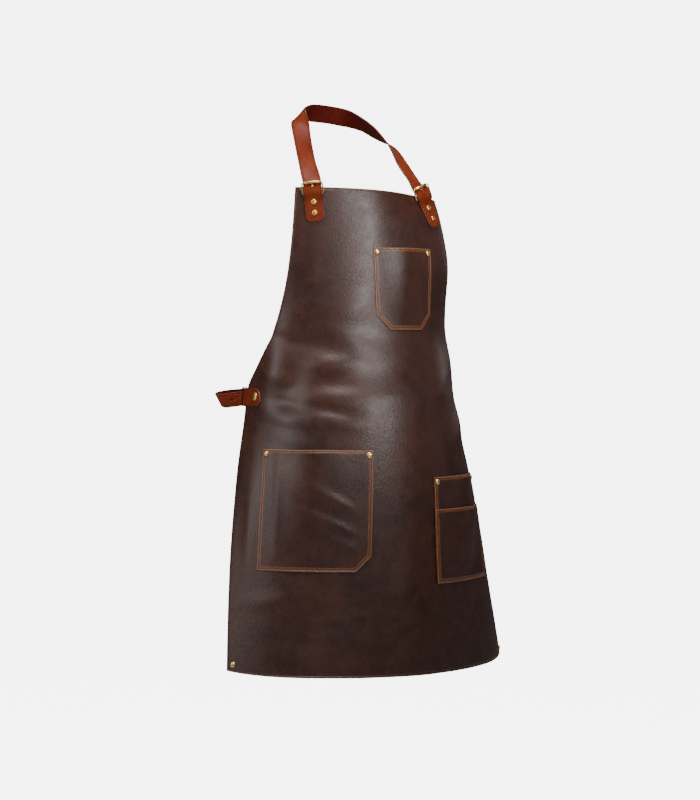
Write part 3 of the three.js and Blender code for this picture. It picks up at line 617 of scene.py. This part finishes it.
def smooth_line(points, samples):
    """A centripetal Catmull-Rom curve: between stations a cubic whose end slopes come from the neighbouring
    chords, each weighted by the square root of its length."""
    p = np.concatenate([2 * points[:1] - points[1:2], points, 2 * points[-1:] - points[-2:-1]])
    gap = np.sqrt(np.linalg.norm(np.diff(p, axis=0), axis=1))[:, None]
    t = np.linspace(0, len(points) - 1, samples)
    i = np.minimum(t.astype(int), len(points) - 2)
    w = (t - i)[:, None]
    p0, p1, p2, p3 = p[i], p[i + 1], p[i + 2], p[i + 3]
    g1 = np.where(gap[i + 1] < 1e-4, 1, gap[i + 1])
    g0, g2 = (np.where(each < 1e-4, g1, each) for each in (gap[i], gap[i + 2]))
    m1 = g1 * ((p1 - p0) / g0 - (p2 - p0) / (g0 + g1) + (p2 - p1) / g1)
    m2 = g1 * ((p2 - p1) / g1 - (p3 - p1) / (g1 + g2) + (p3 - p2) / g2)
    return p1 + m1 * w + (3 * (p2 - p1) - 2 * m1 - m2) * w ** 2 + (2 * (p1 - p2) + m1 + m2) * w ** 3


def strap_path(stations, looks):
    """The strap's own place function: u along its middle line, v across it, off outside it. The middle line
    is a smooth curve measured by its length, and its outer side follows the station looks squared to it."""
    line, out = smooth_line(stations, PATH_STEPS), smooth_line(looks, PATH_STEPS)
    run = np.concatenate([[0], np.cumsum(np.linalg.norm(np.diff(line, axis=0), axis=1))])
    heading = unit(np.gradient(line, axis=0))
    out = unit(out - heading * (out * heading).sum(1, keepdims=True))
    aside = np.cross(out, heading)

    def place(u, v, off):
        u, v, off = np.broadcast_arrays(np.asarray(u, float), v, off)
        inside = np.clip(u, 0, run[-1])
        at, to, up, over = (np.stack([np.interp(inside, run, each[:, k]) for k in range(3)], -1)
                            for each in (line, heading, out, aside))
        return at + to * (u - inside)[..., None] + over * v[..., None] + up * off[..., None]
    return place, run[-1], line, run


def strap_panel(name, place, length, width, thick, finishes, pattern, columns, round_ends, holes=()):
    """A strap cut flat: even rows across, even columns along, and each end rounded as a quarter of a
    superellipse of power 2.2 at both corners."""
    power, radius = 2.2, np.array(round_ends)
    v = width * (cut_lines(15, 0.02)[:, None] - 0.5)
    inset = np.clip((np.abs(v) - (width / 2 - radius)) / radius, 0, 1)
    back = radius * (1 - (1 - inset ** power) ** (1 / power))
    u = back[:, :1] + (length - back[:, 1:] - back[:, :1]) * cut_lines(columns, 0.4 / length)[None, :]
    return leather_panel(name, u, v + 0 * u, place, thick, finishes, pattern, 0.28, holes)


strap_grain = grain_leather("cognac_bridle_leather", "#5e200f", "#6c2a14", "#803a20", "#501a0b",
                            60, 14, 2.6, (0.36, 0.46), 0.5, reflect=0.08)
strap_flesh = flesh_leather("bridle_leather_back", "#440801", "#5a0f03", 2.5, 0.7)
strap_edge = cut_leather("bridle_leather_burnished_edge", "#4a1c0e", "#6f3019", 0.42)
STRAP_FINISH = [strap_grain, strap_flesh, strap_edge]

BUCKLE_REACH, CREST_OFF, STRAP_DIP = 19.5, 7.75, 4.7
PATH_STEPS = 3000
STRAP_FLAT = HIDE_THICK / 2 + SEAT + STRAP_THICK / 2
corner_rows = {}
for key, corner in BIB_CORNERS.items():
    ups = np.array([-corner["end"], -corner["rivets"][1], -corner["rivets"][0], -8, -4, 0, 8, 13, BUCKLE_REACH])
    offs = np.array([*[STRAP_FLAT] * 3, 3.2, 5.4, CREST_OFF, 8.1, 7.2, STRAP_DIP])
    offs += corner_share(ups, corner["lift"])
    corner_rows[key] = (on_hide(*corner_place(corner, ups, corner_aside(corner, ups)), offs),
                        corner_look(corner, ups, corner_share(ups, corner["turn"])))
(right_points, right_looks), (left_points, left_looks) = corner_rows["right"], corner_rows["left"]
on_strap, strap_length, strap_line, strap_run = strap_path(
    np.concatenate([right_points, NECK_LOOP[:, :3], left_points[::-1]]),
    np.concatenate([right_looks, look(NECK_LOOP), left_looks[::-1]]))
strap_holes = []
for key, up, half_u, half_v in STRAP_HOLES:
    spot = on_hide(*corner_place(BIB_CORNERS[key], up), 6.0)
    at = strap_run[np.argmin(np.linalg.norm(strap_line - spot, axis=1))]
    strap_holes.append((at, 0.0, half_u, half_v))
strap = strap_panel("strap", on_strap, strap_length, STRAP_WIDTH, STRAP_THICK, STRAP_FINISH, (0, 1.3),
                    200, (10.0, 10.0), strap_holes)
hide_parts("neck_strap")

# ---------------------------------------------------------------- Neck buckles
# Each bib corner has a brass buckle: a wire bent to a rounded rectangle, a roller on its upper bar, and a
# prong that is curled round the heel bar under the strap and comes up through it onto the roller.
WIRE_RADIUS = 1.2
BUCKLE_WIDTH, BUCKLE_CORNER = 35.0, 4.5
ROLLER_RADIUS, ROLLER_LENGTH = 2.4, 25.0
HEEL_UNDER, ROLLER_OVER = 3.8, 5.05
PRONG_LINE = np.array([[1.2, 0], [8, -0.4], [14, 0.9], [18, 3.1], [19.5, 3.8], [22.2, 3.4]])
PRONG_STEPS, PRONG_RADII = 48, (1.15, 0.8)
CURL_RADIUS, CURL_HALF = 2.1, 2.0


def polished_brass(name, deep, body, bright):
    """Polished brass, cast and tumbled. The eye sees a warm yellow metal with soft smudges that dull the
    shine, a browner tarnish in places, and fine scratches from wear."""
    finish, tree, shader = new_finish(name)
    place = add_node(tree, "TexCoord").outputs["Object"]
    smudge, scratch = noise(tree, place, 7, 5), noise(tree, place, 1.2, 2)
    tone = blend(tree, ramp(tree, smudge, 0.35, 0.6), srgb(deep), srgb(body))
    tone = blend(tree, ramp(tree, scratch, 0.55, 0.8, 0, 0.5), tone, srgb(bright))
    fill_inputs(tree, shader, {
        "Base Color": tone, "Roughness": ramp(tree, smudge, 0.3, 0.7, 0.42, 0.28),
        "Normal": bump(tree, scratch, 0.12, 0.0002), "Metallic": 1})
    return finish


brass = polished_brass("polished_brass", "#c79a4f", "#e8c980", "#f8e4ac")


def tube_faces(count, sides, closed):
    """Groups of faces on a count of rings, each joined to the next. A closed run joins its last ring to its
    first, and an open one ends in two fans round poles that are numbered after the rings."""
    index = np.arange(count * sides).reshape(count, sides)
    if closed:
        return [(ring_faces(index, np.roll(index, -1, axis=0)), 0)]
    first, last = index[0], index[-1]
    fans = np.concatenate([np.stack([0 * first + index.size, first, np.roll(first, -1)], -1),
                           np.stack([0 * last + index.size + 1, np.roll(last, -1), last], -1)])
    return [(ring_faces(index[:-1], index[1:]), 0), (fans, 0)]


def carried_round(name, line, rise, radius, sides, closed, finish):
    """A round section carried along a line: side is the heading crossed with rise, and each ring is the line
    plus radius times side by cosine and rise by sine. An open line ends in two blunt tips, half a radius
    further on."""
    heading = unit(np.roll(line, -1, axis=0) - np.roll(line, 1, axis=0) if closed
                   else np.gradient(line, axis=0))
    rise = unit(rise - heading * (rise * heading).sum(1, keepdims=True))
    aside = np.cross(heading, rise)
    turn = 2 * np.pi * np.arange(sides) / sides
    rings = line[:, None] + radius[:, None, None] * (
        aside[:, None] * np.cos(turn)[:, None] + rise[:, None] * np.sin(turn)[:, None])
    points = rings.reshape(-1, 3)
    if not closed:
        points = np.concatenate([points, line[:1] - heading[:1] * radius[0] * 0.5,
                                 line[-1:] + heading[-1:] * radius[-1] * 0.5])
    return make_piece(name, points, tube_faces(len(line), sides, closed), [finish])


def turned(name, centre, axis, profile, sides, closed, finish):
    """A profile of radius and height turned about an axis. It runs from the top down the outside. Unless it
    is a closed ring, its first and last points are on the axis and become poles."""
    axis = unit(axis)
    first = unit(np.cross(axis, [0.31, 0.57, 0.76]))
    second = np.cross(axis, first)
    turn = 2 * np.pi * np.arange(sides) / sides
    body = profile if closed else profile[1:-1]
    spoke = first * np.cos(turn)[:, None] + second * np.sin(turn)[:, None]
    points = (centre + body[:, 1, None, None] * axis + body[:, 0, None, None] * spoke).reshape(-1, 3)
    if not closed:
        points = np.concatenate([points, [centre + axis * profile[0, 1]], [centre + axis * profile[-1, 1]]])
    return make_piece(name, points, tube_faces(len(body), sides, closed), [finish])


def rounded_box(half_x, half_y, corner, steps):
    """The outline of a rounded rectangle, anticlockwise from the middle of its right side: four quarter
    circles joined by straights, with even points on each."""
    quarter = np.linspace(0, np.pi / 2, steps)
    turn = quarter[None, :] + np.array([0, 0.5, 1, 1.5])[:, None] * np.pi
    middle_x = (half_x - corner) * np.array([1, -1, -1, 1])[:, None]
    middle_y = (half_y - corner) * np.array([1, 1, -1, -1])[:, None]
    arcs = np.stack([middle_x + corner * np.cos(turn), middle_y + corner * np.sin(turn)], -1)
    ahead = np.roll(arcs[:, 0], -1, axis=0)
    share = np.linspace(0, 1, steps + 2)[1:-1, None]
    straights = arcs[:, -1, None] + (ahead - arcs[:, -1])[:, None] * share
    return np.concatenate([arcs, straights], axis=1).reshape(-1, 2)


def tube_profile(inner, outer, half, bevel):
    """Closed profile of a sleeve: down its outside with bevelled ends, and back up its bore."""
    return np.array([[outer - bevel, half], [outer, half - bevel], [outer, 0], [outer, bevel - half],
                     [outer - bevel, -half], [inner + bevel / 2, -half], [inner, bevel / 2 - half],
                     [inner, half - bevel / 2], [inner + bevel / 2, half]])


for key, (points, looks) in corner_rows.items():
    heel, roller = points[5] - looks[5] * HEEL_UNDER, points[-1] + looks[-1] * ROLLER_OVER
    reach = np.linalg.norm(roller - heel)
    up = (roller - heel) / reach
    across = unit(np.cross(up, looks[5]))
    out = np.cross(across, up)
    outline = rounded_box(BUCKLE_WIDTH / 2, reach / 2, BUCKLE_CORNER, 9)
    wire = heel + across * outline[:, :1] + up * (outline[:, 1:] + reach / 2)
    bar = carried_round(f"buckle_{key}_frame", wire, np.tile(out, (len(wire), 1)),
                        np.full(len(wire), WIRE_RADIUS), 14, True, brass)
    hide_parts(f"neck_buckle_{key}")
    sleeve = turned(f"buckle_{key}_roller", roller, across,
                    tube_profile(WIRE_RADIUS + 0.15, ROLLER_RADIUS, ROLLER_LENGTH / 2, 0.5), 28, True, brass)
    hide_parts(f"neck_roller_{key}")
    rows = smooth_line(PRONG_LINE, PRONG_STEPS)
    tongue = heel + up * rows[:, :1] * reach / BUCKLE_REACH + out * rows[:, 1:]
    thin = np.linspace(*PRONG_RADII, PRONG_STEPS) * np.sqrt(1 - np.linspace(0, 1, PRONG_STEPS) ** 14 * 0.85)
    prong = carried_round(f"buckle_{key}_prong", tongue, np.tile(out, (PRONG_STEPS, 1)), thin, 12, False, brass)
    curl = turned(f"buckle_{key}_prong_curl", heel, across,
                  tube_profile(WIRE_RADIUS + 0.1, CURL_RADIUS, CURL_HALF, 0.4), 24, True, brass)
    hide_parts(f"neck_prong_{key}")

# ---------------------------------------------------------------- Waist tabs, keepers, belts and clasp
# A cognac tab is riveted to each edge of the hide at the waist. A leather keeper holds its end over the start
# of a 24 mm belt, which runs round to a plain brass clasp behind. The left side mirrors the right.
MIRROR = {"right": -1, "left": 1}
TAB_TIP, TAB_END, TAB_LEVEL, TAB_HEIGHT = 247.0, 320.0, 6.0, 29.0
TAB_NOSE, TAB_ROUND = 2.5, 12
KEEPER_PLACE, KEEPER_OFF = 316.0, 1.7
KEEPER = dict(half_y=3.5, half_z=15.5, corner=2.2, wall=1.3, half_width=3.0)
CLASP_PLACE = np.array([0.0, 182.0, 5.0])
CLASP = dict(half_y=1.8, half_z=12.6, corner=1.2, wall=2.4, half_width=22.0)
BELT_THICK, BELT_WIDTH = 2.4, 24.0
BELT_START, BELT_LEVEL, BELT_OFF = np.array([313.0, 321.0]), 3.0, 0.35
BELT_HOLE, BELT_HOLE_RADIUS = np.array([196.0, 103.0, 0.0]), 2.2
BELT_LINE = np.array([
    # place, then the way the outer side looks, as for the strap, on the right side
    [-184, 95, 2, -58, 0], [-196, 103, 0, -45, -8], [-207, 113, -2, -56, -20], [-211, 127, -1, -100, -28],
    [-199, 145, 2, -140, -18], [-150, 167, 5, -163, -4], [-84, 179, 5, -174, 0], [-32, 182, 5, -180, 0],
    [-3, 182, 5, -180, 0],
])


def sleeve_piece(name, centre, axes, finish, half_y, half_z, corner, wall, half_width):
    """A band bent to a rounded rectangle in the plane of axes 1 and 2 and half_width to each side along axis
    0: the rectangle's outline is grown from its bore to its outside and back, with rounded lips."""
    grow = np.array([0.2, 0.75, 1, 1, 1, 0.75, 0.2, 0, 0, 0]) * wall
    width = np.array([1, 0.97, 0.88, 0, -0.88, -0.97, -1, -0.93, 0, 0.93]) * half_width
    loops = np.stack([rounded_box(half_y + g, half_z + g, corner + g, 8) for g in grow])
    points = centre + width[:, None, None] * axes[0] + loops[..., :1] * axes[1] + loops[..., 1:] * axes[2]
    count, around = loops.shape[:2]
    flat = np.stack([loops[..., 0] + loops[..., 1], 0 * loops[..., 0] + width[:, None]], -1)
    return make_piece(name, points.reshape(-1, 3), tube_faces(count, around, True), [finish],
                      flat.reshape(-1, 2) * 0.001, {"edge_mm": np.repeat(half_width - np.abs(width), around)})


def on_tab(s, z, off):
    """The tab lies on the hide, and lifts a little past the hide's edge to clear the belt's start."""
    s, z, off = np.broadcast_arrays(np.asarray(s, float), z, off)
    under = HIDE_THICK / 2 + SEAT + BELT_THICK / 2
    return on_hide(s, z, under + 0.6 * smooth_step(np.abs(s), 285, 308) + off)


for key, sign in MIRROR.items():
    v = TAB_LEVEL + TAB_HEIGHT * (cut_lines(17, 0.02)[:, None] - 0.5)
    inset = np.clip((np.abs(v - TAB_LEVEL) - TAB_NOSE) / (TAB_HEIGHT / 2 - TAB_NOSE), 0, 1)
    tip = TAB_TIP + TAB_ROUND * (1 - np.sqrt(1 - 0.999 * inset ** 2))
    u = tip + (TAB_END - tip) * cut_lines(34, 0.006)[None, :]
    u = u if sign > 0 else -u[:, ::-1]
    tab = leather_panel(f"tab_{key}", u, v + 0 * u, on_tab, BELT_THICK, STRAP_FINISH,
                        (0.5, 0.8 + 0.1 * sign), 0.28)
    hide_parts(f"waist_tab_{key}")

    begin = sign * BELT_START
    points = np.concatenate([on_hide(begin, BELT_LEVEL, BELT_OFF), BELT_LINE[:, :3] * [-sign, 1, 1]])
    looks = np.concatenate([hide_normal(begin, np.full(2, BELT_LEVEL)), look(BELT_LINE) * [-sign, 1, 1]])
    if sign > 0:
        points, looks = points[::-1], looks[::-1]
    on_belt, belt_length, belt_line, belt_run = strap_path(points, looks)
    at = belt_run[np.argmin(np.linalg.norm(belt_line - BELT_HOLE * [sign, 1, 1], axis=1))]
    belt = strap_panel(f"belt_{key}", on_belt, belt_length, BELT_WIDTH, BELT_THICK, STRAP_FINISH,
                       (0.2, 2.1 + 0.3 * sign), 110, (0.01, 0.01),
                       [(at, 0.0, BELT_HOLE_RADIUS, BELT_HOLE_RADIUS)])
    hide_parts(f"waist_belt_{key}")

    spot_s, spot_z = np.array(sign * KEEPER_PLACE), np.array(TAB_LEVEL)
    face = hide_normal(spot_s, spot_z)
    sideways = unit(np.cross([0, 0, 1], face))
    keeper = sleeve_piece(f"keeper_{key}", on_hide(spot_s, spot_z, KEEPER_OFF),
                          (sideways, face, np.cross(face, sideways)), strap_grain, **KEEPER)
    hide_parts(f"waist_keeper_{key}")

clasp = sleeve_piece("clasp", CLASP_PLACE, np.eye(3), brass, **CLASP)
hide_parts("waist_clasp")

# ---------------------------------------------------------------- Rivets
# Brass rivets hold the pocket mouths, strap ends, tabs and hem corners. Each is a domed cap on a post that is
# pressed into a small flat cap behind the hide.
CAP_RADIUS, WAIST_CAP, CAP_HEIGHT, POST_RADIUS = 4.8, 7.0, 2.6, 1.4
FROM_SIDE, FROM_MOUTH = 6, 7
HEM_LEVEL, WAIST_PLACE, WAIST_LEVEL = -436, 261, 7
RIVETS = []
for name in ("chest_pocket", "hand_pocket", "tool_pocket"):
    left, right, top = POCKETS[name]["box"][:3]
    kind, under = name.split("_")[0], POCKET_THICK + SEAT
    RIVETS += [(f"{kind}_rivet_right", left + FROM_SIDE, top - FROM_MOUTH, under, CAP_RADIUS, None),
               (f"{kind}_rivet_left", right - FROM_SIDE, top - FROM_MOUTH, under, CAP_RADIUS, None)]
for key, sign in MIRROR.items():
    RIVETS += [(f"hem_rivet_{key}", sign * HEM_CORNER, HEM_LEVEL, 0, CAP_RADIUS, None),
               (f"waist_rivet_{key}", sign * WAIST_PLACE, WAIST_LEVEL, BELT_THICK + SEAT, WAIST_CAP, None)]
    corner = BIB_CORNERS[key]
    RIVETS += [(f"strap_rivet_{key}_{i}", *corner_place(corner, -down, corner_aside(corner, -down)),
                STRAP_THICK + SEAT + corner_share(-down, corner["lift"]), CAP_RADIUS,
                corner_look(corner, -down, corner_share(-down, corner["turn"])))
               for i, down in enumerate(corner["rivets"], 1)]


def rivet_profile(front, back, cap):
    """From the crown down: a dome that is an ellipse, a rolled lip, the cap's flat underside, the post, and
    the flat back cap with its own rounded lip."""
    swing = np.linspace(0, np.pi / 2, 9)
    dome = np.stack([cap * np.sin(swing), front + 0.5 + (CAP_HEIGHT - 0.5) * np.cos(swing)], -1)
    lip = [[cap - 0.05, front + 0.2], [cap - 0.35, front]]
    post = [[POST_RADIUS, front], [POST_RADIUS, back]]
    small = 0.7 * cap
    washer = [[small - 0.25, back], [small, back - 0.3], [small - 0.3, back - 0.85], [small * 0.6, back - 1],
              [0, back - 1]]
    return np.concatenate([dome, lip, post, washer])


for name, s, z, outside, cap, axis in RIVETS:
    s, z = np.array(float(s)), np.array(float(z))
    axis = hide_normal(s, z) if axis is None else axis
    profile = rivet_profile(HIDE_THICK / 2 + outside + 0.05, -HIDE_THICK / 2 - 0.05, cap)
    rivet = turned(name.replace("rivet", "stud"), hide_point(s, z), axis, profile, 32, False, brass)
    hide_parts(name)

# ---------------------------------------------------------------- Floor, light and camera
# A plain pale floor lies well below the hem, and floor and sky are bright only to the camera. Soft lights
# stand high before the apron, at its right side, by the camera and low before the bib, and two weak ones on
# its left pick out the far edges. The camera is level, turned 25 degrees to the right front.
FLOOR_HALF, FLOOR_LEVEL = 40, -1.5
BACKDROP, WORLD_LIGHT = 6.0, 0.05
floor_finish, tree, shader = new_finish("white_painted_floor")
speck = noise(tree, add_node(tree, "TexCoord").outputs["Object"], 25, 2)
shown = add_node(tree, "LightPath").outputs["Is Camera Ray"]
fill_inputs(tree, shader, {
    "Base Color": srgb("#f4f3f1"), "Roughness": ramp(tree, speck, 0, 1, 0.7, 0.8),
    "Emission Color": srgb("#ffffff"), "Emission Strength": ramp(tree, shown, 0, 1, 0, BACKDROP)})
floor_mesh = bpy.data.meshes.new("floor")
floor_corners = [(x * FLOOR_HALF, y * FLOOR_HALF, FLOOR_LEVEL) for x, y in ((-1, -1), (1, -1), (1, 1), (-1, 1))]
floor_mesh.from_pydata(floor_corners, [], [(0, 1, 2, 3)])
floor = bpy.data.objects.new("floor", floor_mesh)
floor_mesh.materials.append(floor_finish)
bpy.context.scene.collection.objects.link(floor)

world = bpy.data.worlds.new("white_studio")
bpy.context.scene.world = world
world.use_nodes = True
sky = world.node_tree
sky.nodes.clear()
seen = add_node(sky, "LightPath").outputs["Is Camera Ray"]
strength = ramp(sky, seen, 0, 1, WORLD_LIGHT, BACKDROP)
add_node(sky, "OutputWorld", {0: add_node(sky, "Background", {0: (1, 1, 1, 1), 1: strength}).outputs[0]})


def soft_light(name, azimuth, elevation, distance, size, power, height, spread=180):
    """An area light of this width and height that looks at the apron's front at a height, from a compass
    angle and a height angle, and shines within a spread in degrees."""
    turn, rise = np.radians(azimuth), np.radians(elevation)
    away = np.array([np.sin(turn) * np.cos(rise), -np.cos(turn) * np.cos(rise), np.sin(rise)])
    lamp = bpy.data.lights.new(name, "AREA")
    lamp.shape, lamp.size, lamp.size_y = "RECTANGLE", *size
    lamp.energy, lamp.spread = power, np.radians(spread)
    light = bpy.data.objects.new(name, lamp)
    light.location = np.array([0, -0.15, height]) + away * distance
    light.rotation_euler = (np.pi / 2 - rise, 0, turn)
    bpy.context.scene.collection.objects.link(light)


soft_light("bib_light", 9, 13, 1.6, (0.85, 0.4), 2.1, -0.24, 46)
soft_light("side_light", -96, 20, 2.8, (1.5, 2.0), 36, -0.45)
soft_light("camera_light", -31, 11, 3.4, (0.5, 0.4), 6, -0.3)
soft_light("top_light", -34, 74, 2.8, (1.6, 1.2), 112, -0.5)
soft_light("right_light", 74, 14, 3.0, (0.7, 1.8), 3, -0.5)
soft_light("rim_light", 118, 20, 2.6, (0.8, 1.0), 4, -0.5)

SENSOR_MM, FOCAL_PX, IMAGE_PX = 24, 2204, 800
camera = bpy.data.objects.new("camera", bpy.data.cameras.new("camera"))
camera.location = (-1.6059, -3.5120, -0.3896)
camera.rotation_euler = (np.pi / 2, 0, -np.radians(25))
camera.data.sensor_fit = "VERTICAL"
camera.data.sensor_height = SENSOR_MM
camera.data.lens = SENSOR_MM * FOCAL_PX / IMAGE_PX
camera.data.shift_x, camera.data.shift_y = -10 / IMAGE_PX, -60 / IMAGE_PX
bpy.context.scene.collection.objects.link(camera)
bpy.context.scene.camera = camera
